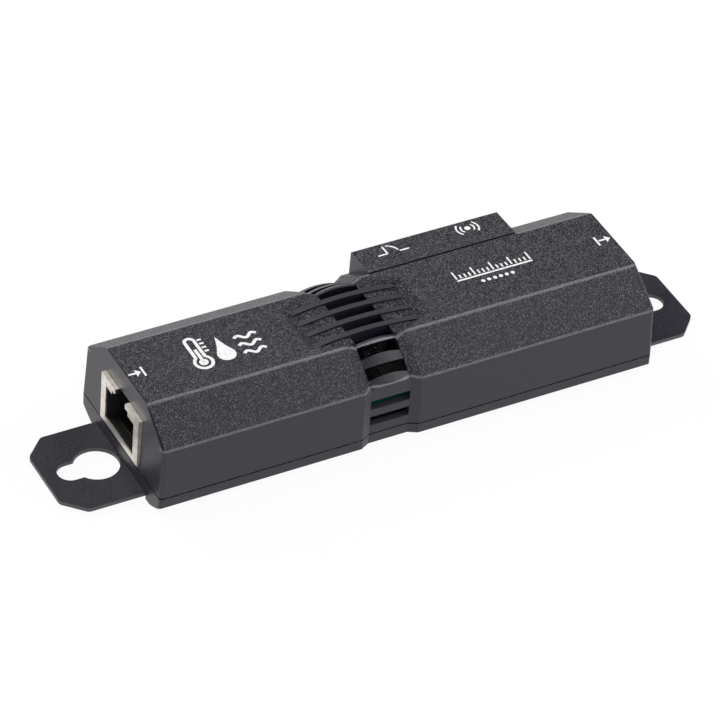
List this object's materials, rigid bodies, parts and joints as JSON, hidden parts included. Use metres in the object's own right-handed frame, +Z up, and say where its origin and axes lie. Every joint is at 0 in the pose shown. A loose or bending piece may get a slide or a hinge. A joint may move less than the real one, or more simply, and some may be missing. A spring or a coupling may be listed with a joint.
{
  "type": "rack temperature sensor",
  "caption": "Long bevelled plastic sensor case with a vented waist, shielded data sockets at both ends, two small ports behind, on a steel plate with a keyhole ear at each end.",
  "frame": {"origin": "below the middle of the object, level with the underside of the base cover", "axes": "+X along the case from the inlet socket to the outlet socket, +Y towards the two sensor ports, +Z up off the plate"},
  "size_m": [0.138, 0.0342, 0.0212],
  "materials": {
    "case_plastic": "black moulded plastic: leather grain on top, fine spark grain on the bevels, satin walls",
    "base_plastic": "black moulded plastic, satin",
    "plate_paint": "black powder coat on sheet steel",
    "shield_metal": "nickel-plated sheet, satin",
    "socket_plastic": "black moulded insert",
    "contact_metal": "gilded spring contacts",
    "board_laminate": "green solder mask",
    "chip_plastic": "black moulding compound",
    "can_metal": "drawn cans",
    "resistor_body": "black film with tinned ends",
    "screw_steel": "zinc-plated"
  },
  "bodies": {
    "root": {"top_cover": "case_plastic", "base_cover": "base_plastic", "mounting_plate": "plate_paint", "circuit_board": "board_laminate", "in_jack_shield": "shield_metal", "out_jack_shield": "shield_metal", "in_jack_housing": "socket_plastic", "out_jack_housing": "socket_plastic", "in_jack_contacts": "contact_metal", "out_jack_contacts": "contact_metal", "door_port_housing": "socket_plastic", "sensor_port_housing": "socket_plastic", "door_port_contacts": "contact_metal", "sensor_port_contacts": "contact_metal", "climate_sensor": "chip_plastic", "microcontroller": "chip_plastic", "line_driver": "chip_plastic", "voltage_regulator": "chip_plastic", "crystal": "can_metal", "capacitors": "can_metal", "resistors": "resistor_body", "cover_screws": "screw_steel", "plate_screws": "screw_steel"}
  },
  "joints": []
}
